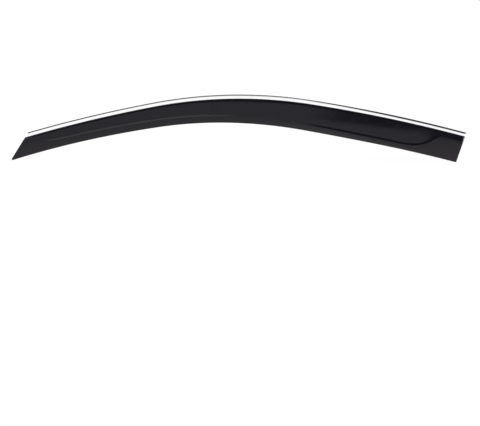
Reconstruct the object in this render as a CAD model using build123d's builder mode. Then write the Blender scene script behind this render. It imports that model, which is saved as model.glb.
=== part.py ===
"""Window rain deflector for a front door, in millimetres and degrees.

X runs along the top of the door opening, with the pointed front tip at -X. Y goes into the door, so
the outer face looks to -Y. Z is up. The origin is on the tape's bonding face, at the crown.
"""

from build123d import *
import os
from math import asin, cos, radians, sin, tan

os.makedirs("parts", exist_ok=True)

# Sections that the lengths are lofted through
station_count = 34

# Arch of the upper edge: three tangent arcs in one leaning plane, apex at X = 0
crown_radius = 865.0
crown_turn_front = 12.5
crown_turn_rear = 10.25
front_radius = 2670.0
rear_radius = 2810.0
arch_lean = 11.0
section_twist = 16.0
twist_length = 1000.0

# Ends, as seen square on to the blade
face_tilt = 22.0
front_end = -465.5
front_rake = 58.0
rear_end = 502.0
rear_rake = 70.4
run_out = 70.0
corner_round = 2.5

# Shell section
sheet = 3.0
flange_height = 9.5
knee_radius = 1.5
shoulder_turn_front = 60.0
shoulder_turn_rear = 52.0
shoulder_radius = 8.0
blade_flare = 33.0
blade_radius = 200.0
blade_front = 33.0
blade_rear = 56.0
blade_grow_from = -475.0
blade_grow_to = 305.0

# Panel on the blade, which stands out at the front and sinks in towards the rear
panel_flare_front = 3.2
panel_flare_rear = -2.8
panel_turn_from = -250.0
panel_turn_to = 400.0
panel_front = -462.0
panel_front_length = 100.0
panel_rear = 452.0
panel_rear_length = 110.0
panel_least = 3.0
border_front = 14.0
border_rear = 9.5
step_run = 5.0

# Bright trim, its slot, and the lip over them
lip_front = 0.5
lip_rear = 2.4
lip_grow_from = 120.0
lip_grow_to = 380.0
slot_foot = 8.9
slot_depth = 0.9
trim_dome = 1.0
slot_fit = 0.1
bond_gap = 0.05

# Tape on the flange's back, with its liner
tape_width = 8.0
tape_thickness = 1.25
tape_inset = 9.0

# Places and directions worked out from these
lean = radians(arch_lean)
arch_outward = Vector(0, -cos(lean), -sin(lean))
arch_up = Vector(0, -sin(lean), cos(lean))
tilt = radians(face_tilt)
face_normal = Vector(0, -cos(tilt), sin(tilt))
face_up = Vector(0, sin(tilt), cos(tilt))
backing = bond_gap + tape_thickness
ends = ((front_end, front_rake), (rear_end, rear_rake))
crown = Vector(0, -backing, flange_height / 2)


def arch_at(x):
    """Height of the arch over its apex at x, and the angle that it has turned through."""
    turn, radius = (crown_turn_front, front_radius) if x < 0 else (crown_turn_rear, rear_radius)
    turn = radians(turn)
    centre_x, centre_height = 0, -crown_radius
    if abs(x) > crown_radius * sin(turn):
        centre_x = (crown_radius - radius) * sin(turn) * (-1 if x < 0 else 1)
        centre_height += (crown_radius - radius) * cos(turn)
    else:
        radius = crown_radius
    angle = asin((x - centre_x) / radius)
    return centre_height + radius * cos(angle), angle


def arch_point(x):
    return crown + Vector(x, 0, 0) + arch_up * arch_at(x)[0]


def station(x):
    """Plane square to the arch at x: its x outward from the door, its y up along the flange."""
    angle = arch_at(x)[1]
    along = Vector(cos(angle), 0, 0) - arch_up * sin(angle)
    radial = Vector(sin(angle), 0, 0) + arch_up * cos(angle)
    roll = lean + radians(section_twist * x / twist_length)
    across = arch_outward * cos(roll) + radial * sin(roll)
    return Plane(origin=arch_point(x), x_dir=across, z_dir=along * -1)


def end_plane(x, rake, inset):
    """Plane that cuts an end square to the blade, with its normal towards the middle."""
    slope = radians(rake)
    edge = Vector(cos(slope), 0, 0) + face_up * sin(slope)
    inward = edge.cross(face_normal)
    inward = inward if inward.X * x < 0 else inward * -1
    return Plane(origin=arch_point(x) + inward * inset, x_dir=edge, z_dir=inward)


def eased(x, start, end):
    """0 up to start and 1 from end, easing between them."""
    share = min(max((x - start) / (end - start), 0), 1)
    return share * share * (3 - 2 * share)


def blade_length(x):
    return blade_front + (blade_rear - blade_front) * eased(x, blade_grow_from, blade_grow_to)


def lip(x):
    return lip_front + (lip_rear - lip_front) * eased(x, lip_grow_from, lip_grow_to)


def panel_share(x):
    """1 along the panel, falling to 0 at its two rounded ends."""
    ahead = (panel_front + panel_front_length - x) / panel_front_length
    behind = (x - panel_rear + panel_rear_length) / panel_rear_length
    return (1 - min(max(ahead, behind, 0), 1) ** 4) ** 1.5


def panel_reach(x):
    """How far down the blade the panel comes before it steps down to the border."""
    share = (x - front_end) / (rear_end - front_end)
    border = border_front + (border_rear - border_front) * share
    full = blade_length(x) - border - step_run
    return panel_least + (full - panel_least) * panel_share(x)


def panel_flare(x):
    sunk = eased(x, panel_turn_from, panel_turn_to)
    stand = panel_flare_front + (panel_flare_rear - panel_flare_front) * sunk
    share = panel_share(x)
    return blade_flare + stand * share * (2 - share)


def shoulder_turn(x):
    """Steepest slope of the shoulder under the trim, which eases off from the front end to the crown."""
    return shoulder_turn_front + (shoulder_turn_rear - shoulder_turn_front) * eased(x, front_end, 0)


def on_shoulder(x, turn, depth):
    """Point of the section at x where the shoulder slopes by turn, depth under its face."""
    slope, here = radians(shoulder_turn(x)), radians(turn)
    out = knee_radius * (1 - cos(slope)) + shoulder_radius * (cos(here) - cos(slope))
    down = knee_radius * sin(slope) + shoulder_radius * (sin(slope) - sin(here))
    return sheet + out - depth * cos(here), -flange_height - down - depth * sin(here)


def on_blade(x, reach, flare, depth):
    """Point of the section at x, reach down the blade from the shoulder and depth under its face."""
    start = radians(flare)
    here = start - reach / blade_radius
    top_out, top_up = on_shoulder(x, flare, 0)
    out = top_out + blade_radius * (cos(here) - cos(start))
    up = top_up - blade_radius * (sin(start) - sin(here))
    return out - depth * cos(here), up - depth * sin(here)


def heading(reach, flare):
    here = radians(flare) - reach / blade_radius
    return sin(here), -cos(here)


def lowest(x):
    """Point of the section at x in the middle of its rounded lower edge."""
    length = blade_length(x)
    middle = Vector(*on_blade(x, length, blade_flare, sheet / 2))
    return middle + Vector(*heading(length, blade_flare)) * (sheet / 2)


def lower_run(x):
    """Direction of the lower edge from the section at x towards the middle."""
    inner = x - run_out if x > 0 else x + run_out
    return station(inner).from_local_coords(lowest(inner)) - station(x).from_local_coords(lowest(x))


def blade_arc(x, start, end, flare, depth):
    points = [on_blade(x, reach, flare, depth) for reach in (start, (start + end) / 2, end)]
    return ThreePointArc(*points)


def draw_shell(x):
    """Outline of the shell's section at x."""
    reach, length, flare = panel_reach(x), blade_length(x), panel_flare(x)
    foot = reach + step_run
    slope = shoulder_turn(x)
    Polyline(
        (0, -flange_height),
        (0, 0),
        (sheet, 0),
        (sheet, -lip(x)),
        (sheet - slot_depth, -lip(x)),
        (sheet - slot_depth, -slot_foot),
        (sheet, -slot_foot),
        (sheet, -flange_height),
    )
    for depth in (0, sheet):
        shoulder = [on_shoulder(x, turn, depth) for turn in (slope, (slope + flare) / 2, flare)]
        top, bottom = on_blade(x, reach, flare, depth), on_blade(x, foot, blade_flare, depth)
        TangentArc((sheet - depth, -flange_height), shoulder[0], tangent=(0, -1))
        ThreePointArc(*shoulder)
        blade_arc(x, 0, reach, flare, depth)
        Spline(top, bottom, tangents=(heading(reach, flare), heading(foot, blade_flare)))
        blade_arc(x, foot, length, blade_flare, depth)
    outer, inner = (on_blade(x, length, blade_flare, depth) for depth in (0, sheet))
    ThreePointArc(outer, lowest(x), inner)


def draw_trim(x):
    """Outline of the trim's section at x: a strip in the slot, with a domed face."""
    back = sheet - slot_depth + bond_gap
    top = -lip(x) - slot_fit
    bottom = -slot_foot + slot_fit
    Polyline((sheet, bottom), (back, bottom), (back, top), (sheet, top))
    EllipticalCenterArc(
        center=(sheet, (top + bottom) / 2),
        x_radius=trim_dome,
        y_radius=(top - bottom) / 2,
        start_angle=-90,
        arc_size=180,
    )


def draw_corner(angle):
    """Outline of what is cut from a corner of this angle to round it."""
    reach = corner_round / tan(radians(angle / 2))
    turn = radians(angle)
    below = Vector(cos(turn), sin(turn)) * reach
    outside = Vector(-sin(turn), cos(turn)) * sheet
    TangentArc((reach, 0), below, tangent=(-1, 0))
    Polyline((reach, 0), (reach, -sheet), (-2 * sheet, -sheet), below + outside, below)


# Evenly spaced stations along the arch, with a run-out past both ends for the end cuts
first_station = front_end - run_out
station_step = (rear_end + run_out - first_station) / (station_count - 1)
stations = [first_station + station_step * number for number in range(station_count)]

with BuildPart() as deflector_shell:
    for place in stations:
        with BuildSketch(station(place)):
            with BuildLine():
                draw_shell(place)
            make_face()
    loft()
    for end, rake in ends:
        cut = end_plane(end, rake, 0)
        split(bisect_by=cut, keep=Keep.TOP)
        end_face = deflector_shell.faces().filter_by(GeomType.PLANE).sort_by_distance(cut.origin)[0]
        tip = end_face.edges().sort_by(Axis.Z)[0]
        with BuildSketch(Plane(origin=tip @ 0.5, x_dir=cut.x_dir, z_dir=cut.x_dir.cross(cut.z_dir))):
            with BuildLine():
                draw_corner(cut.x_dir.get_angle(lower_run(end)))
            make_face()
        extrude(amount=4 * sheet, both=True, mode=Mode.SUBTRACT)

with BuildPart() as chrome_trim:
    for place in stations:
        with BuildSketch(station(place)):
            with BuildLine():
                draw_trim(place)
            make_face()
    loft()
    for end, rake in ends:
        split(bisect_by=end_plane(end, rake, slot_fit), keep=Keep.TOP)

with BuildPart() as mounting_tape:
    for place in stations:
        with BuildSketch(station(place)):
            with Locations((-bond_gap - tape_thickness / 2, -flange_height / 2)):
                Rectangle(tape_thickness, tape_width)
    loft()
    for end, rake in ends:
        split(bisect_by=end_plane(end, rake, tape_inset), keep=Keep.TOP)

deflector_shell.part.label = "deflector_shell"
chrome_trim.part.label = "chrome_trim"
mounting_tape.part.label = "mounting_tape"

export_step(deflector_shell.part, "parts/deflector_shell.step")
export_step(chrome_trim.part, "parts/chrome_trim.step")
export_step(mounting_tape.part, "parts/mounting_tape.step")
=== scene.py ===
"""Window rain deflector: finished pieces, finishes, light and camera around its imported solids.

Metres. X runs along the top of the door opening, with the pointed front tip at -X. Y goes into the
door and Z is up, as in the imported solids.
"""

from math import cos, pi, radians, sin

import bpy
import numpy as np
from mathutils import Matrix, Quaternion, Vector


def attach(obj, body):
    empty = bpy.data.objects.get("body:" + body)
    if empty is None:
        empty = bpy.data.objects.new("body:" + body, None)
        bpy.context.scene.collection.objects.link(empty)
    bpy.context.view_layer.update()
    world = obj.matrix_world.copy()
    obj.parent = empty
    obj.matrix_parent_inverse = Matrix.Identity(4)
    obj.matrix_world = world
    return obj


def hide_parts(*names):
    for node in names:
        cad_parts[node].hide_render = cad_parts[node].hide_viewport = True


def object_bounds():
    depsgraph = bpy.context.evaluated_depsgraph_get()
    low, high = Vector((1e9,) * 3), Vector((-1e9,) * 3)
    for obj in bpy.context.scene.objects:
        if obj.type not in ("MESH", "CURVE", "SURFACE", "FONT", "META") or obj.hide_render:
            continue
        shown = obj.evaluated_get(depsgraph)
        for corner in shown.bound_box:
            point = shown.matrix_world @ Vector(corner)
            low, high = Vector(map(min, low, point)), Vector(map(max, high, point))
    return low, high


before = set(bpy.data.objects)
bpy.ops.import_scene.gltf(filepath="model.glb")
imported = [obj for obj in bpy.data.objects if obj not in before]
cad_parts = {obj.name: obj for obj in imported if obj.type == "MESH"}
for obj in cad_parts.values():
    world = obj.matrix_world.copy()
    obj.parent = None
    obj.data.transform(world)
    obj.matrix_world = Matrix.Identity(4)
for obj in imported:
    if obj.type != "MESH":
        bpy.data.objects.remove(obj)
cad_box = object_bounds()

bl_info = {
    "name": "Window Rain Deflector",
    "version": (1, 0, 0),
    "blender": (4, 5, 0),
    "location": "3D View > Sidebar > Deflector",
    "description": "Forms a smoked window deflector with a bright trim, its tape and its stage",
    "category": "Object",
}


# Kinds of setting
def number(name, description, default, **kind):
    return bpy.props.FloatProperty(name=name, description=description, default=default, **kind)


def length(name, description, metres):
    return number(name, description, metres, precision=5, subtype="DISTANCE", unit="LENGTH")


def angle(name, description, degrees):
    return number(name, description, radians(degrees), subtype="ANGLE", unit="ROTATION")


def amount(name, description, value):
    return number(name, description, value, min=0, subtype="FACTOR")


def focal(name, description, millimetres):
    return number(name, description, millimetres, min=1, subtype="DISTANCE_CAMERA", unit="CAMERA")


def power(name, description, watts):
    return number(name, description, watts, min=0, subtype="POWER", unit="POWER")


def colour(name, description, value):
    return bpy.props.FloatVectorProperty(
        name=name, description=description, default=value, size=3, min=0, max=1, subtype="COLOR"
    )


class DeflectorShape(bpy.types.PropertyGroup):
    crown_radius: length("Crown radius", "Radius of the arch over its middle", 0.865)
    crown_turn_front: angle("Crown turn, front", "How far the crown turns ahead of the apex", 12.5)
    crown_turn_rear: angle("Crown turn, rear", "How far the crown turns behind the apex", 10.25)
    front_radius: length("Front radius", "Radius of the arch ahead of the crown", 2.67)
    rear_radius: length("Rear radius", "Radius of the arch behind the crown", 2.81)
    arch_lean: angle("Arch lean", "How far the arch's plane leans from upright", 11.0)
    section_twist: angle("Section twist", "Turn of the section over the twist length", 16.0)
    twist_length: length("Twist length", "Length that the section twist is given over", 1.0)

    face_tilt: angle("Face tilt", "Slope of the face that the ends are cut square to", 22.0)
    front_end: length("Front end", "Place on the arch where the front end starts", -0.4655)
    front_rake: angle("Front rake", "Slope of the front end", 58.0)
    rear_end: length("Rear end", "Place on the arch where the rear end starts", 0.502)
    rear_rake: angle("Rear rake", "Slope of the rear end", 70.4)
    run_out: length("Run-out", "Search length past each end", 0.07)
    corner_round: length("Corner round", "Radius of the two lower corners", 0.0025)

    sheet: length("Sheet", "Thickness of the shell", 0.003)
    flange_height: length("Flange height", "Height of the upright flange", 0.0095)
    knee_radius: length("Knee radius", "Radius of the corner under the trim", 0.0015)
    shoulder_turn_front: angle("Shoulder turn, front", "Slope under the trim at the front end", 60.0)
    shoulder_turn_rear: angle("Shoulder turn, rear", "Slope under the trim from the crown on", 52.0)
    shoulder_radius: length("Shoulder radius", "Radius from the shoulder into the blade", 0.008)
    blade_flare: angle("Blade flare", "Slope of the blade under the shoulder", 33.0)
    blade_radius: length("Blade radius", "Radius of the blade's hollow back", 0.2)
    blade_front: length("Blade, front", "Length of the blade's section at the front", 0.033)
    blade_rear: length("Blade, rear", "Length of the blade's section at the rear", 0.056)
    blade_grow_from: length("Blade grows from", "Place where the blade starts to grow", -0.475)
    blade_grow_to: length("Blade grows to", "Place where the blade has grown", 0.305)

    panel_flare_front: angle("Panel flare, front", "How far the panel stands out at the front", 3.2)
    panel_flare_rear: angle("Panel flare, rear", "How far the panel stands out at the rear", -2.8)
    panel_turn_from: length("Panel turns from", "Place where the panel starts to sink", -0.25)
    panel_turn_to: length("Panel turns to", "Place where the panel has sunk", 0.4)
    panel_front: length("Panel front", "Front end of the panel", -0.462)
    panel_front_length: length("Panel front length", "Length of the panel's front rounding", 0.1)
    panel_rear: length("Panel rear", "Rear end of the panel", 0.452)
    panel_rear_length: length("Panel rear length", "Length of the panel's rear rounding", 0.11)
    panel_least: length("Panel least", "Least height of the panel at its ends", 0.003)
    border_front: length("Border, front", "Height of the lower border at the front", 0.014)
    border_rear: length("Border, rear", "Height of the lower border at the rear", 0.0095)
    step_run: length("Step run", "Height that the panel's edge takes", 0.005)

    lip_front: length("Lip, front", "Height of the lip over the trim at the front", 0.0005)
    lip_rear: length("Lip, rear", "Height of the lip over the trim at the rear", 0.0024)
    lip_grow_from: length("Lip grows from", "Place where the lip starts to grow", 0.12)
    lip_grow_to: length("Lip grows to", "Place where the lip has grown", 0.38)
    slot_foot: length("Slot foot", "Depth of the trim's slot under the flange's top", 0.0089)
    slot_depth: length("Slot depth", "Depth of the trim's slot into the sheet", 0.0009)
    slot_fit: length("Slot fit", "Room round the trim in its slot", 0.0001)
    trim_dome: length("Trim dome", "How far the trim stands out of the sheet", 0.001)
    bond_gap: length("Bond gap", "Thickness of each layer of glue", 0.00005)

    tape_width: length("Tape width", "Width of the mounting tape", 0.008)
    tape_thickness: length("Tape thickness", "Thickness of the mounting tape with its liner", 0.00125)
    tape_inset: length("Tape inset", "Distance of the tape from the ends", 0.009)
    liner_thickness: length("Liner thickness", "Thickness of the liner film", 0.00015)
    liner_margin: length("Liner margin", "How far the liner stands past the foam", 0.0003)

    shell_break: length("Shell edge break", "Width of the shell's broken edges", 0.00015)
    strip_break: length("Strip edge break", "Width of the broken edges of trim and foam", 0.0001)
    liner_break: length("Liner edge break", "Width of the liner's broken edges", 0.00003)


class DeflectorFinish(bpy.types.PropertyGroup):
    smoke: colour("Smoke", "Colour of the smoked sheet", (0.0062, 0.0060, 0.0098))
    # A painted highlight: the lighter colour given to the sheet's lower edge
    smoke_edge_highlight: colour("Smoke, edge", "Colour of the sheet's lower edge", (0.0175, 0.0135, 0.0155))
    chrome: colour("Chrome", "Colour of the plated trim", (0.97, 0.97, 0.975))
    foam: colour("Foam", "Colour of the mounting tape", (0.035, 0.036, 0.038))
    film: colour("Film", "Colour of the liner film", (0.52, 0.022, 0.018))
    dust: colour("Dust", "Colour of the dust on the sheet", (0.09, 0.088, 0.085))
    smoke_ior: amount("Smoke IOR", "Index of refraction of the smoked sheet", 1.49)
    smoke_rough: amount("Smoke roughness", "Least roughness of the smoked sheet", 0.07)
    smoke_clouds: amount("Smoke clouds", "Roughness that faint clouds add to the sheet", 0.05)
    hair_rough: amount("Hairline roughness", "Roughness that hairlines add to the sheet", 0.10)
    dust_rough: amount("Dust roughness", "Roughness that dust adds to the sheet", 0.22)
    dust_cover: amount("Dust cover", "How much of the sheet's colour the dust hides", 0.18)
    chrome_rough: amount("Chrome roughness", "Least roughness of the plated trim", 0.035)
    chrome_clouds: amount("Chrome clouds", "Roughness that faint clouds add to the trim", 0.03)
    chrome_lines: amount("Chrome lines", "Roughness that polishing lines add to the trim", 0.02)
    foam_rough: amount("Foam roughness", "Least roughness of the foam", 0.72)
    film_rough: amount("Film roughness", "Least roughness of the liner film", 0.24)


class DeflectorStage(bpy.types.PropertyGroup):
    camera_tilt: angle("Camera tilt", "How far the camera looks down", 22.0)
    camera_roll: angle("Camera roll", "How far the camera leans to one side", -0.057)
    camera_lens: focal("Camera lens", "Focal length", 600.0)
    camera_sensor: focal("Camera sensor", "Width of the sensor", 36.0)
    view_width: length("View width", "Width that the picture takes in", 1.0572)
    view_x: length("View across", "Place along the arch at the picture's middle", 0.002)
    view_drop: length("View drop", "How far the picture's middle is under the crown", 0.2568)
    view_near: length("View near", "How much nearer the camera is than the width asks for", 0.02)
    view_far: length("View far", "Distance past which nothing is shown", 200.0)
    floor_shade: colour("Floor", "Colour of the light that the floor gives back", (0.86, 0.86, 0.86))
    floor_shadow: colour("Floor shadow", "Colour that shows shadows on the floor", (0.12, 0.12, 0.12))
    floor_glow: amount("Floor glow", "Brightness of the floor in the picture", 0.93)
    floor_size: length("Floor size", "Length of the floor's sides", 60.0)
    floor_gap: length("Floor gap", "Room between the deflector and the floor", 0.0005)
    room_level: amount("Room level", "Brightness of the room round the stage", 0.5)
    room_top: angle("Room top", "Height over the floor where the room turns dark", 46.0)
    room_fall: angle("Room fall", "How much lower the room turns dark on the left", 3.0)
    room_depth: amount("Room depth", "Darkness of the room overhead", 0.96)
    room_blue: amount("Room blue", "Share of blue in the room's light", 1.03)
    soft_edge: angle("Soft edge", "Softness of the room's dark edges", 3.0)
    horizon_top: angle("Horizon top", "Height of the bright band over the floor", 5.0)
    horizon_level: amount("Horizon level", "Brightness of the band over the floor", 0.95)
    screen_aside: angle("Screen aside", "How far to the right the dark screen's corner is", 15.4)
    screen_height: angle("Screen height", "Height of the dark screen's corner", 31.0)
    screen_foot: amount("Screen foot", "Slope of the dark screen's foot", 0.74)
    screen_side: amount("Screen side", "Slope of the dark screen's side", 1.9)
    screen_depth: amount("Screen depth", "Darkness of the dark screen", 0.9)
    glow_top: angle("Glow top", "Height of the glow low on the right", 28.0)
    glow_level: amount("Glow level", "Brightness of the glow low on the right", 0.5)
    lamp_power: power("Lamp power", "Power of each soft lamp", 26.0)


# Places on the deflector
def eased(value, start, end):
    """0 up to start and 1 from end, easing between them."""
    share = np.clip((value - start) / (end - start), 0, 1)
    return share * share * (3 - 2 * share)


def arch_turn(shape, x):
    """Height of the arch over its apex at x, and the angle that it has turned through."""
    turn = np.where(x < 0, shape.crown_turn_front, shape.crown_turn_rear)
    radius = np.where(x < 0, shape.front_radius, shape.rear_radius)
    past = np.abs(x) > shape.crown_radius * np.sin(turn)
    shift = np.where(past, shape.crown_radius - radius, 0.0)
    radius = np.where(past, radius, shape.crown_radius)
    turned = np.arcsin((x - shift * np.sin(turn) * np.sign(x)) / radius)
    return shift * np.cos(turn) - shape.crown_radius + radius * np.cos(turned), turned


def backing(shape):
    """Distance of the flange's back from the door."""
    return shape.bond_gap + shape.tape_thickness


def set_out(shape, x, out, up):
    """Points at places x along the arch, out from the door and up along the flange."""
    height, turned = arch_turn(shape, x)
    lean = shape.arch_lean
    roll = lean + shape.section_twist * x / shape.twist_length
    outward = np.array([0, -cos(lean), -sin(lean)])
    arch_up = np.array([0, -sin(lean), cos(lean)])
    along = np.array([1.0, 0, 0])
    radial = np.sin(turned)[..., None] * along + np.cos(turned)[..., None] * arch_up
    across = np.cos(roll)[..., None] * outward + np.sin(roll)[..., None] * radial
    upward = np.cos(roll)[..., None] * radial - np.sin(roll)[..., None] * outward
    crown = np.array([0, -backing(shape), shape.flange_height / 2])
    arch = crown + x[..., None] * along + height[..., None] * arch_up
    return arch + out[..., None] * across + up[..., None] * upward


def end_cut(shape, front):
    """A point on an end's plane, the direction up its edge, and the direction towards the middle."""
    x = shape.front_end if front else shape.rear_end
    rake = shape.front_rake if front else shape.rear_rake
    nought = np.zeros(1)
    point = set_out(shape, np.full(1, x), nought, nought)[0]
    face_up = np.array([0, sin(shape.face_tilt), cos(shape.face_tilt)])
    face_out = np.array([0, -cos(shape.face_tilt), sin(shape.face_tilt)])
    edge = cos(rake) * np.array([1.0, 0, 0]) + sin(rake) * face_up
    inward = np.cross(edge, face_out)
    return point, edge, inward if inward[0] * x < 0 else -inward


def lip(shape, x):
    grown = eased(x, shape.lip_grow_from, shape.lip_grow_to)
    return shape.lip_front + (shape.lip_rear - shape.lip_front) * grown


def blade_length(shape, x):
    grown = eased(x, shape.blade_grow_from, shape.blade_grow_to)
    return shape.blade_front + (shape.blade_rear - shape.blade_front) * grown


def panel_share(shape, x):
    """1 along the panel, falling to 0 at its two rounded ends."""
    ahead = (shape.panel_front + shape.panel_front_length - x) / shape.panel_front_length
    behind = (x - shape.panel_rear + shape.panel_rear_length) / shape.panel_rear_length
    return (1 - np.clip(np.maximum(ahead, behind), 0, 1) ** 4) ** 1.5


def panel_reach(shape, x):
    """How far down the blade the panel comes before its edge."""
    share = (x - shape.front_end) / (shape.rear_end - shape.front_end)
    border = shape.border_front + (shape.border_rear - shape.border_front) * share
    full = blade_length(shape, x) - border - shape.step_run
    return shape.panel_least + (full - shape.panel_least) * panel_share(shape, x)


def panel_flare(shape, x):
    sunk = eased(x, shape.panel_turn_from, shape.panel_turn_to)
    stand = shape.panel_flare_front + (shape.panel_flare_rear - shape.panel_flare_front) * sunk
    share = panel_share(shape, x)
    return shape.blade_flare + stand * share * (2 - share)


# Lines along the shell, each a function from places x to distances out and up
def fixed_line(out, up):
    """Line that keeps its distances all along."""
    return lambda x: (np.full_like(x, out), np.full_like(x, up))


def lip_line(shape, out, under):
    """Line along the foot of the lip, or a little under it."""
    return lambda x: (np.full_like(x, out), -lip(shape, x) - under)


def shoulder_turn(shape, x):
    """Steepest slope of the shoulder, which eases off from the front end to the crown."""
    fall = shape.shoulder_turn_rear - shape.shoulder_turn_front
    return shape.shoulder_turn_front + fall * eased(x, shape.front_end, 0)


def knee_line(shape, share, depth):
    def line(x):
        turn = shoulder_turn(shape, x) * share
        out = shape.sheet + shape.knee_radius * (1 - np.cos(turn)) - depth * np.cos(turn)
        return out, -shape.flange_height - (shape.knee_radius + depth) * np.sin(turn)

    return line


def shoulder_place(shape, x, turn, depth):
    """Out and up of a point where the shoulder slopes by turn, depth under its face."""
    slope = shoulder_turn(shape, x)
    out = shape.knee_radius * (1 - np.cos(slope)) + shape.shoulder_radius * (np.cos(turn) - np.cos(slope))
    down = shape.knee_radius * np.sin(slope) + shape.shoulder_radius * (np.sin(slope) - np.sin(turn))
    return shape.sheet + out - depth * np.cos(turn), -shape.flange_height - down - depth * np.sin(turn)


def blade_place(shape, x, reach, flare, depth):
    """Out and up of a point, reach down the blade from its shoulder and depth under the face."""
    here = flare - reach / shape.blade_radius
    out, up = shoulder_place(shape, x, flare, 0)
    out = out + shape.blade_radius * (np.cos(here) - np.cos(flare))
    up = up - shape.blade_radius * (np.sin(flare) - np.sin(here))
    return out - depth * np.cos(here), up - depth * np.sin(here)


def shoulder_line(shape, share, depth):
    def line(x):
        slope = shoulder_turn(shape, x)
        return shoulder_place(shape, x, slope + (panel_flare(shape, x) - slope) * share, depth)

    return line


def panel_line(shape, share, depth):
    return lambda x: blade_place(shape, x, panel_reach(shape, x) * share, panel_flare(shape, x), depth)


def step_line(shape, share, depth):
    """Line on the panel's edge, which eases from the panel to the border."""

    def line(x):
        reach = panel_reach(shape, x)
        foot = reach + shape.step_run
        flare = panel_flare(shape, x)
        border = np.full_like(x, shape.blade_flare)
        start = np.array(blade_place(shape, x, reach, flare, depth))
        end = np.array(blade_place(shape, x, foot, border, depth))
        span = np.hypot(*(end - start))
        leave = flare - reach / shape.blade_radius
        land = border - foot / shape.blade_radius
        leave = np.array([np.sin(leave), -np.cos(leave)]) * span
        land = np.array([np.sin(land), -np.cos(land)]) * span
        t = share
        blend = start * (2 * t**3 - 3 * t**2 + 1) + end * (3 * t**2 - 2 * t**3)
        return tuple(blend + leave * (t**3 - 2 * t**2 + t) + land * (t**3 - t**2))

    return line


def border_line(shape, share, depth):
    def line(x):
        foot = panel_reach(shape, x) + shape.step_run
        reach = foot + (blade_length(shape, x) - foot) * share
        return blade_place(shape, x, reach, np.full_like(x, shape.blade_flare), depth)

    return line


def nose_line(shape, share):
    """Line on the half-round lower edge, from the outer face to the inner one."""

    def line(x):
        half = shape.sheet / 2
        reach = blade_length(shape, x)
        out, up = blade_place(shape, x, reach, np.full_like(x, shape.blade_flare), half)
        here = shape.blade_flare - reach / shape.blade_radius - pi * share
        return out + half * np.cos(here), up + half * np.sin(here)

    return line


# Lines on each part of the section, which crowd together on the border towards the lower edge
face_parts = ((knee_line, 6), (shoulder_line, 8), (panel_line, 16), (step_line, 14))
border_count = 16
border_crowding = 1.4
nose_count = 10
dome_count = 24
flange_count = 3

# Corners of the flat bands: their radius as a share of the thickness, and their lines
corner_share = 0.22
corner_count = 4

# Rows of faces along the pieces
shell_rows = 260
trim_rows = 260
tape_rows = 200


def shares(count):
    """Even shares of 1, from the first one after 0."""
    return np.linspace(0, 1, count + 1)[1:]


def shell_lines(shape):
    """The shell's lines in order round its section, and the first and last line of its two faces."""
    sheet, slot_floor = shape.sheet, shape.sheet - shape.slot_depth
    lines = [fixed_line(sheet * share, 0) for share in (0, 0.5, 1)]
    lines += [lip_line(shape, sheet, 0), lip_line(shape, slot_floor, 0)]
    lines += [fixed_line(slot_floor, -shape.slot_foot), fixed_line(sheet, -shape.slot_foot)]
    lines += [fixed_line(sheet, -shape.flange_height)]
    face = [(kind, share) for kind, count in face_parts for share in shares(count)]
    face += [(border_line, 1 - (1 - share) ** border_crowding) for share in shares(border_count)]
    first = len(lines) - 1
    lines += [kind(shape, share, 0) for kind, share in face]
    lines += [nose_line(shape, share) for share in shares(nose_count)]
    lines += [kind(shape, share, sheet) for kind, share in reversed(face[:-1])]
    last = len(lines)
    lines += [fixed_line(0, -shape.flange_height * (1 - share)) for share in (0, *shares(flange_count))]
    return lines, (first, last)


def trim_lines(shape):
    """The trim's lines: a strip in its slot, with a domed face."""
    back = shape.sheet - shape.slot_depth + shape.bond_gap
    foot = -shape.slot_foot + shape.slot_fit

    def dome_line(share):
        def line(x):
            top = -lip(shape, x) - shape.slot_fit
            turn = pi * (0.5 - share)
            middle, half = (top + foot) / 2, (top - foot) / 2
            return np.full_like(x, shape.sheet + shape.trim_dome * cos(turn)), middle + half * sin(turn)

        return line

    lines = [fixed_line(back, foot), lip_line(shape, back, shape.slot_fit)]
    lines += [dome_line(share) for share in (0, *shares(dome_count))]
    return lines + [fixed_line(back, foot)]


def band_lines(shape, depth, thickness, width):
    """The lines of a flat band on the flange's back, with rounded corners."""
    middle = -shape.flange_height / 2
    corner = min(thickness, width) * corner_share
    lines = []
    for side, edge in ((1, 1), (1, -1), (-1, -1), (-1, 1)):
        turns = np.linspace(0, pi / 2, corner_count)
        turns = turns if side * edge < 0 else turns[::-1]
        for turn in turns:
            out = -depth - thickness / 2 + side * (thickness / 2 - corner + corner * cos(turn))
            lines.append(fixed_line(out, middle + edge * (width / 2 - corner + corner * sin(turn))))
    return lines + lines[:1]


# Length of the lower edge that gives its direction at an end
edge_run = 0.002

# Steps that find a line's end, each of which halves the search length
end_steps = 48

# Points nearer than this are joined to one
join_distance = 1e-6

# Edges sharper than the first angle are broken, and those under the second are shaded smooth
broken_from = radians(40)
smooth_to = radians(32)


# Meshes
def line_end(shape, line, front, inset):
    """Place x where a line comes to an end's plane, or as far inside it as the inset."""
    point, _, inward = end_cut(shape, front)
    end = shape.front_end if front else shape.rear_end
    low, high = end - shape.run_out, end + shape.run_out
    for _ in range(end_steps):
        middle = (low + high) / 2
        x = np.full(1, middle)
        inside = (set_out(shape, x, *line(x))[0] - point) @ inward > inset
        if inside == front:
            high = middle
        else:
            low = middle
    return (low + high) / 2


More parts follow.
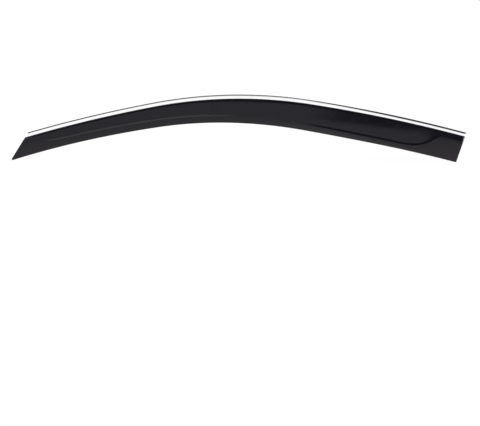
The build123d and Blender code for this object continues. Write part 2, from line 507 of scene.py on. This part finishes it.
def round_corner(shape, lines, ends, front):
    """Draws the ends of the lowest lines back, so that the lower corner is round."""
    _, edge, _ = end_cut(shape, front)
    places = [set_out(shape, np.full(1, x), *line(np.full(1, x)))[0] for line, x in zip(lines, ends)]
    heights = np.array([place @ edge for place in places])
    lowest = int(np.argmin(heights))
    step = edge_run if front else -edge_run
    x = np.full(1, ends[lowest] + step)
    run = set_out(shape, x, *lines[lowest](x))[0] - places[lowest]
    run /= np.linalg.norm(run)
    corner = np.arccos(run @ edge)
    radius = shape.corner_round
    reach = radius / np.tan(corner / 2)
    above = np.clip((heights - heights[lowest]) * np.sin(corner), 0, radius * (1 + np.cos(corner)))
    back = reach - np.sqrt(np.maximum(radius**2 - (above - radius) ** 2, 0)) - above / np.tan(corner)
    return ends + np.sign(step) * np.maximum(back, 0) * abs(run[0])


def bridge_faces(piece, row, column, rows, faces):
    """Joins the outer face to the inner one across both ends, line by line.

    The middle line of the lower edge is left out, so that the edges of the two faces are apart.
    """
    first, last = faces
    for end in (0, rows):
        chosen = (row == end) & (column >= first) & (column <= last) & (2 * column != first + last)
        bpy.ops.object.mode_set(mode="EDIT")
        bpy.ops.mesh.select_mode(type="VERT")
        bpy.ops.mesh.select_all(action="DESELECT")
        bpy.ops.object.mode_set(mode="OBJECT")
        piece.data.vertices.foreach_set("select", chosen)
        bpy.ops.object.mode_set(mode="EDIT")
        bpy.ops.mesh.bridge_edge_loops()
        bpy.ops.object.mode_set(mode="OBJECT")


def formed_points(shape, lines, rows, inset, rounded):
    """Points on the lines, in rows from the front end to the rear one."""
    ends = []
    for front in (True, False):
        places = np.array([line_end(shape, line, front, inset) for line in lines])
        ends.append(round_corner(shape, lines, places, front) if rounded else places)
    x = ends[0] + (ends[1] - ends[0]) * np.linspace(0, 1, rows + 1)[:, None]
    columns = [set_out(shape, places, *line(places)) for places, line in zip(x.T, lines)]
    return np.stack(columns, axis=1)


def formed_piece(shape, name, lines, rows, inset, faces=None):
    """A flat sheet formed along the lines, joined to a tube and closed at its two ends.

    Where the first and last line of two faces are given, the lower corners are rounded too.
    """
    formed = formed_points(shape, lines, rows, inset, rounded=faces is not None)
    columns = len(lines) - 1
    bpy.ops.object.select_all(action="DESELECT")
    bpy.ops.mesh.primitive_grid_add(x_subdivisions=rows, y_subdivisions=columns, size=2, calc_uvs=True)
    piece = bpy.context.object
    piece.name = piece.data.name = name
    flat = np.empty(len(piece.data.vertices) * 3)
    piece.data.vertices.foreach_get("co", flat)
    flat = (flat.reshape(-1, 3)[:, :2] + 1) / 2
    row = np.rint(flat[:, 0] * rows).astype(int)
    column = np.rint(flat[:, 1] * columns).astype(int)
    piece.data.vertices.foreach_set("co", formed[row, column].ravel())
    piece.data.update()

    if faces:
        bridge_faces(piece, row, column, rows, faces)
    bpy.ops.object.mode_set(mode="EDIT")
    bpy.ops.mesh.select_all(action="SELECT")
    bpy.ops.mesh.remove_doubles(threshold=join_distance)
    bpy.ops.mesh.fill_holes(sides=0)
    bpy.ops.mesh.select_all(action="SELECT")
    bpy.ops.mesh.normals_make_consistent(inside=False)
    bpy.ops.object.mode_set(mode="OBJECT")
    return piece


def soften(piece, width, segments):
    """Breaks the sharp edges and smooths the rest."""
    bevel = piece.modifiers.new("Broken edges", "BEVEL")
    bevel.width = width
    bevel.segments = segments
    bevel.limit_method = "ANGLE"
    bevel.angle_limit = broken_from
    bpy.ops.object.modifier_apply(modifier=bevel.name)
    bpy.ops.object.shade_smooth_by_angle(angle=smooth_to)


# Finishes
class Wire:
    """A socket of a node tree, for sums on values and for adding nodes."""

    def __init__(self, tree, socket=None):
        self.tree = tree
        self.socket = socket

    def node(self, kind, settings=None, sockets=None, output=0):
        """Adds a node with its settings and the values or links of its sockets, and wraps an output."""
        made = self.tree.nodes.new(kind)
        for name, value in (settings or {}).items():
            setattr(made, name, value)
        for name, value in (sockets or {}).items():
            if isinstance(value, Wire):
                self.tree.links.new(value.socket, made.inputs[name])
            else:
                made.inputs[name].default_value = value
        return Wire(self.tree, made.outputs[output] if made.outputs else None)

    def sum(self, operation, first, second):
        return self.node("ShaderNodeMath", {"operation": operation}, {0: first, 1: second})

    def __add__(self, other):
        return self.sum("ADD", self, other)

    def __radd__(self, other):
        return self.sum("ADD", other, self)

    def __sub__(self, other):
        return self.sum("SUBTRACT", self, other)

    def __rsub__(self, other):
        return self.sum("SUBTRACT", other, self)

    def __mul__(self, other):
        return self.sum("MULTIPLY", self, other)

    def __rmul__(self, other):
        return self.sum("MULTIPLY", other, self)

    def larger(self, other):
        return self.sum("MAXIMUM", self, other)

    def eased(self, start, end):
        sockets = {"Value": self, "From Min": start, "From Max": end}
        return self.node("ShaderNodeMapRange", {"interpolation_type": "SMOOTHSTEP"}, sockets)

    def mixed(self, low, high):
        # A Mix node's colour sockets go by number, because its other kinds share their names
        sockets = {"Factor": self, 6: low, 7: high}
        return self.node("ShaderNodeMix", {"data_type": "RGBA"}, sockets, output=2)


def finish(name):
    material = bpy.data.materials.new(name)
    material.use_nodes = True
    material.node_tree.nodes.clear()
    return material, Wire(material.node_tree)


def noise(wire, place, scale, detail):
    return wire.node("ShaderNodeTexNoise", None, {"Vector": place, "Scale": scale, "Detail": detail})


def streaks(wire, place, along, across, detail):
    """Noise with one scale along the deflector and another across it."""
    sockets = {"Vector": place, "Scale": (along, across, across)}
    return noise(wire, wire.node("ShaderNodeMapping", None, sockets), scale=1.0, detail=detail)


def bump(wire, height, strength, distance):
    sockets = {"Height": height, "Strength": strength, "Distance": distance}
    return wire.node("ShaderNodeBump", None, sockets)


def coat_surface(wire, sockets):
    shader = wire.node("ShaderNodeBsdfPrincipled", None, sockets)
    wire.node("ShaderNodeOutputMaterial", None, {"Surface": shader})


def rgba(shade, share=1.0):
    """A colour, or a darker or lighter share of it, with its alpha."""
    return (*(min(share * value, 1.0) for value in shade), 1.0)


# Shares of the way round the shell's section where the painted highlight on its lower edge comes and goes
edge_highlight_comes = (0.33, 0.44)
edge_highlight_goes = (0.52, 0.67)


def smoked_plastic(colours):
    """Dark smoked sheet: deep gloss, faint waves from forming, hairlines, a little dust, a painted
    lower-edge highlight.
    """
    material, wire = finish("smoked_plastic")
    place = wire.node("ShaderNodeTexCoord", output="Object")
    flat_place = wire.node("ShaderNodeUVMap")
    round_section = wire.node("ShaderNodeSeparateXYZ", None, {0: flat_place}, output="Y")
    # Mask of the painted highlight: a lighter colour round the sheet's lower edge
    edge = round_section.eased(*edge_highlight_comes) * (1 - round_section.eased(*edge_highlight_goes))
    cloud = noise(wire, place, scale=34.0, detail=3.0)
    hairs = streaks(wire, place, along=26.0, across=900.0, detail=1.0).eased(0.66, 0.74)
    dust = noise(wire, place, scale=2600.0, detail=0.0).eased(0.74, 0.82)
    tint = (edge * (0.6 + 0.4 * cloud)).mixed(rgba(colours.smoke), rgba(colours.smoke_edge_highlight))
    tint = (dust * colours.dust_cover).mixed(tint, rgba(colours.dust))
    roughness = colours.smoke_rough + colours.smoke_clouds * cloud.eased(0.35, 0.7)
    roughness = roughness + colours.hair_rough * hairs + colours.dust_rough * dust
    waves = streaks(wire, place, along=14.0, across=40.0, detail=1.0)
    coat_surface(
        wire,
        {
            "Base Color": tint,
            "Roughness": roughness,
            "IOR": colours.smoke_ior,
            "Normal": bump(wire, waves + 0.012 * hairs, strength=0.35, distance=0.00025),
        },
    )
    return material


def plated_chrome(colours):
    """Bright plating: polishing lines along the strip and faint clouding."""
    material, wire = finish("plated_chrome")
    place = wire.node("ShaderNodeTexCoord", output="Object")
    dull = noise(wire, place, scale=55.0, detail=2.0).eased(0.45, 0.75)
    lines = streaks(wire, place, along=30.0, across=2600.0, detail=2.0)
    tint = (dull * 0.5).mixed(rgba(colours.chrome), rgba(colours.chrome, 0.94))
    coat_surface(
        wire,
        {
            "Base Color": tint,
            "Metallic": 1.0,
            "Roughness": colours.chrome_rough + colours.chrome_clouds * dull + colours.chrome_lines * lines,
            "Normal": bump(wire, lines, strength=0.05, distance=0.00002),
        },
    )
    return material


def foam_tape(colours):
    """Closed-cell foam with a fine open grain."""
    material, wire = finish("foam_tape")
    place = wire.node("ShaderNodeTexCoord", output="Object")
    cells = wire.node("ShaderNodeTexVoronoi", None, {"Vector": place, "Scale": 2200.0})
    cloud = noise(wire, place, scale=160.0, detail=3.0)
    grain = 0.65 * cells.eased(0.1, 0.55) + 0.35 * cloud
    shade = grain.mixed(rgba(colours.foam, 0.55), rgba(colours.foam, 1.35))
    coat_surface(
        wire,
        {
            "Base Color": shade,
            "Roughness": colours.foam_rough + 0.2 * cloud,
            "Specular IOR Level": 0.3,
            "Normal": bump(wire, cells + 0.5 * cloud, strength=0.5, distance=0.00012),
        },
    )
    return material


def liner_film(colours):
    """Thin satin film with faint crosswise ripples."""
    material, wire = finish("liner_film")
    place = wire.node("ShaderNodeTexCoord", output="Object")
    ripples = streaks(wire, place, along=220.0, across=30.0, detail=2.0)
    cloud = noise(wire, place, scale=45.0, detail=3.0)
    shade = cloud.eased(0.3, 0.75).mixed(rgba(colours.film, 0.86), rgba(colours.film, 1.12))
    coat_surface(
        wire,
        {
            "Base Color": shade,
            "Roughness": colours.film_rough + 0.16 * cloud,
            "Normal": bump(wire, ripples, strength=0.3, distance=0.0002),
        },
    )
    return material


def fit_piece(piece, node, material):
    """Gives a piece its finish, hangs it on the root, and hides the solid that it stands for."""
    piece.data.materials.append(material)
    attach(piece, "root")
    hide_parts(node)


class DEFLECTOR_OT_form_shell(bpy.types.Operator):
    """Form the smoked shell: flange, shoulder, blade and panel"""

    bl_idname = "deflector.form_shell"
    bl_label = "Form Shell"

    def execute(self, context):
        shape, colours = context.scene.deflector_shape, context.scene.deflector_finish
        lines, faces = shell_lines(shape)
        shell = formed_piece(shape, "smoked_shell", lines, shell_rows, 0.0, faces)
        soften(shell, shape.shell_break, segments=2)
        fit_piece(shell, "deflector_shell", smoked_plastic(colours))
        return {"FINISHED"}


class DEFLECTOR_OT_seat_trim(bpy.types.Operator):
    """Seat the domed bright trim in the flange's slot"""

    bl_idname = "deflector.seat_trim"
    bl_label = "Seat Trim"

    def execute(self, context):
        shape, colours = context.scene.deflector_shape, context.scene.deflector_finish
        trim = formed_piece(shape, "bright_strip", trim_lines(shape), trim_rows, shape.slot_fit)
        soften(trim, shape.strip_break, segments=2)
        fit_piece(trim, "chrome_trim", plated_chrome(colours))
        return {"FINISHED"}


class DEFLECTOR_OT_lay_tape(bpy.types.Operator):
    """Lay the mounting tape on the flange's back, and the liner on the tape"""

    bl_idname = "deflector.lay_tape"
    bl_label = "Lay Tape"

    def execute(self, context):
        shape, colours = context.scene.deflector_shape, context.scene.deflector_finish
        thickness = shape.tape_thickness - shape.liner_thickness
        width = shape.tape_width - 2 * shape.liner_margin
        lines = band_lines(shape, shape.bond_gap, thickness, width)
        inset = shape.tape_inset + shape.liner_margin
        foam = formed_piece(shape, "foam_strip", lines, tape_rows, inset)
        soften(foam, shape.strip_break, segments=2)
        fit_piece(foam, "mounting_tape", foam_tape(colours))
        lines = band_lines(shape, shape.bond_gap + thickness, shape.liner_thickness, shape.tape_width)
        liner = formed_piece(shape, "liner_strip", lines, tape_rows, shape.tape_inset)
        soften(liner, shape.liner_break, segments=1)
        fit_piece(liner, "mounting_tape", liner_film(colours))
        return {"FINISHED"}


# Faces along each side of the floor
floor_faces = 8


# Stage
def pale_floor(stage):
    """White floor that still takes a shadow."""
    material, wire = finish("pale_floor")
    rays = ("Is Camera Ray", "Is Glossy Ray", "Is Transmission Ray")
    camera, glossy, through = (wire.node("ShaderNodeLightPath", output=ray) for ray in rays)
    place = wire.node("ShaderNodeTexCoord", output="Object")
    grain = noise(wire, place, scale=3.0, detail=2.0)
    shade = grain.mixed(rgba(stage.floor_shade, 0.98), rgba(stage.floor_shade))
    paint = wire.node("ShaderNodeBsdfDiffuse", None, {"Color": shade})
    faint = wire.node("ShaderNodeBsdfDiffuse", None, {"Color": rgba(stage.floor_shadow)})
    white = (1.0, 1.0, 1.0, 1.0)
    glow = wire.node("ShaderNodeEmission", None, {"Color": white, "Strength": stage.floor_glow})
    shown = wire.node("ShaderNodeAddShader", None, {0: faint, 1: glow})
    mix = wire.node("ShaderNodeMixShader", None, {0: camera + glossy + through, 1: paint, 2: shown})
    wire.node("ShaderNodeOutputMaterial", None, {"Surface": mix})
    return material


# How far to a side the room's left and right parts come in, where 1 is straight to that side
left_part = (0.15, 0.35)
right_part = (0.0, 0.3)


def studio_room(scene, stage):
    """Grey room, bright along the floor and low on the right, dark overhead and at a screen."""
    world = bpy.data.worlds.new("studio_room")
    world.use_nodes = True
    world.node_tree.nodes.clear()
    scene.world = world
    wire = Wire(world.node_tree)
    look = wire.node("ShaderNodeTexCoord", output="Generated")
    across, back, up = (
        wire.node("ShaderNodeSeparateXYZ", None, {0: look}, output=axis) for axis in "XYZ"
    )
    aside = wire.sum("ARCTAN2", across, -1 * back)
    height = wire.sum("ARCSINE", up, 0.0)
    soft = stage.soft_edge

    lowered = height + stage.room_fall * (-1 * across).eased(*left_part)
    overhead = lowered.eased(stage.room_top - soft / 2, stage.room_top + soft / 2)
    run = aside - stage.screen_aside
    rise = height - stage.screen_height
    over_foot = (rise - stage.screen_foot * run).eased(-soft / 2, soft / 2)
    within_side = (stage.screen_side * run - rise).eased(-soft, soft)
    dark = overhead.larger(stage.screen_depth * (over_foot * within_side))

    horizon = 1 - height.eased(0.0, stage.horizon_top)
    glow = (1 - height.eased(stage.glow_top / 2, stage.glow_top)) * across.eased(*right_part)
    level = stage.room_level * (1 - stage.room_depth * dark) + stage.glow_level * glow
    level = level + (stage.horizon_level - level) * horizon
    shade = wire.node("ShaderNodeCombineColor", None, {0: level, 1: level, 2: level * stage.room_blue})
    background = wire.node("ShaderNodeBackground", None, {"Color": shade, "Strength": 1.0})
    wire.node("ShaderNodeOutputWorld", None, {"Surface": background})


# Soft lamps: their places from the deflector's middle, and their sizes
lamps = {
    "left_lamp": ((-2.3, -0.5, 1.5), (1.4, 1.4)),
    "right_lamp": ((2.3, -0.5, 1.5), (1.4, 1.4)),
    "rear_lamp": ((0.0, 2.2, 1.9), (2.2, 1.2)),
}


def soft_lamp(name, place, aim, size, watts):
    bpy.ops.object.light_add(type="AREA", location=place)
    lamp = bpy.context.object
    lamp.name = name
    lamp.data.shape = "RECTANGLE"
    lamp.data.size, lamp.data.size_y = size
    lamp.data.energy = watts
    lamp.rotation_euler = (Vector(aim) - Vector(place)).to_track_quat("-Z", "Y").to_euler()


class DEFLECTOR_OT_set_stage(bpy.types.Operator):
    """Set the floor, the room, the lamps and the camera"""

    bl_idname = "deflector.set_stage"
    bl_label = "Set Stage"

    def execute(self, context):
        scene = context.scene
        stage = scene.deflector_stage
        low, high = cad_box
        bpy.ops.object.select_all(action="DESELECT")
        bpy.ops.mesh.primitive_grid_add(
            x_subdivisions=floor_faces, y_subdivisions=floor_faces, size=stage.floor_size
        )
        floor = context.object
        floor.name = "pale_floor"
        floor.location.z = low.z - stage.floor_gap
        floor.data.materials.append(pale_floor(stage))
        studio_room(scene, stage)
        middle = (low + high) / 2
        for name, (offset, size) in lamps.items():
            soft_lamp(name, middle + Vector(offset), middle, size, stage.lamp_power)

        camera = bpy.data.cameras.new("camera")
        camera.lens = stage.camera_lens
        camera.sensor_width = stage.camera_sensor
        camera.clip_end = stage.view_far
        holder = bpy.data.objects.new("camera", camera)
        scene.collection.objects.link(holder)
        tilt = stage.camera_tilt
        ahead = Vector((0, cos(tilt), -sin(tilt)))
        aim = Vector((stage.view_x, 0, 0)) - Vector((0, sin(tilt), cos(tilt))) * stage.view_drop
        distance = stage.view_width * stage.camera_lens / stage.camera_sensor - stage.view_near
        holder.location = aim - ahead * distance
        roll = Quaternion((0, 0, 1), stage.camera_roll)
        holder.rotation_euler = (ahead.to_track_quat("-Z", "Y") @ roll).to_euler()
        scene.camera = holder
        scene.view_settings.view_transform = "Standard"
        return {"FINISHED"}


class DEFLECTOR_PT_pieces(bpy.types.Panel):
    """The deflector's pieces and their settings"""

    bl_idname = "DEFLECTOR_PT_pieces"
    bl_label = "Rain Deflector"
    bl_space_type = "VIEW_3D"
    bl_region_type = "UI"
    bl_category = "Deflector"

    def draw(self, context):
        layout = self.layout
        for operator in operators:
            layout.operator(operator.bl_idname)
        for group in groups:
            settings = getattr(context.scene, group)
            column = layout.column(align=True)
            for name in settings.__annotations__:
                column.prop(settings, name)


groups = {
    "deflector_shape": DeflectorShape,
    "deflector_finish": DeflectorFinish,
    "deflector_stage": DeflectorStage,
}
operators = (
    DEFLECTOR_OT_form_shell,
    DEFLECTOR_OT_seat_trim,
    DEFLECTOR_OT_lay_tape,
    DEFLECTOR_OT_set_stage,
)
classes = (*groups.values(), *operators, DEFLECTOR_PT_pieces)


def register():
    for kind in classes:
        bpy.utils.register_class(kind)
    for name, group in groups.items():
        setattr(bpy.types.Scene, name, bpy.props.PointerProperty(type=group))


def unregister():
    for name in groups:
        delattr(bpy.types.Scene, name)
    for kind in reversed(classes):
        bpy.utils.unregister_class(kind)


def main():
    register()
    bpy.ops.deflector.form_shell()
    bpy.ops.deflector.seat_trim()
    bpy.ops.deflector.lay_tape()
    bpy.ops.deflector.set_stage()


if __name__ == "__main__":
    main()
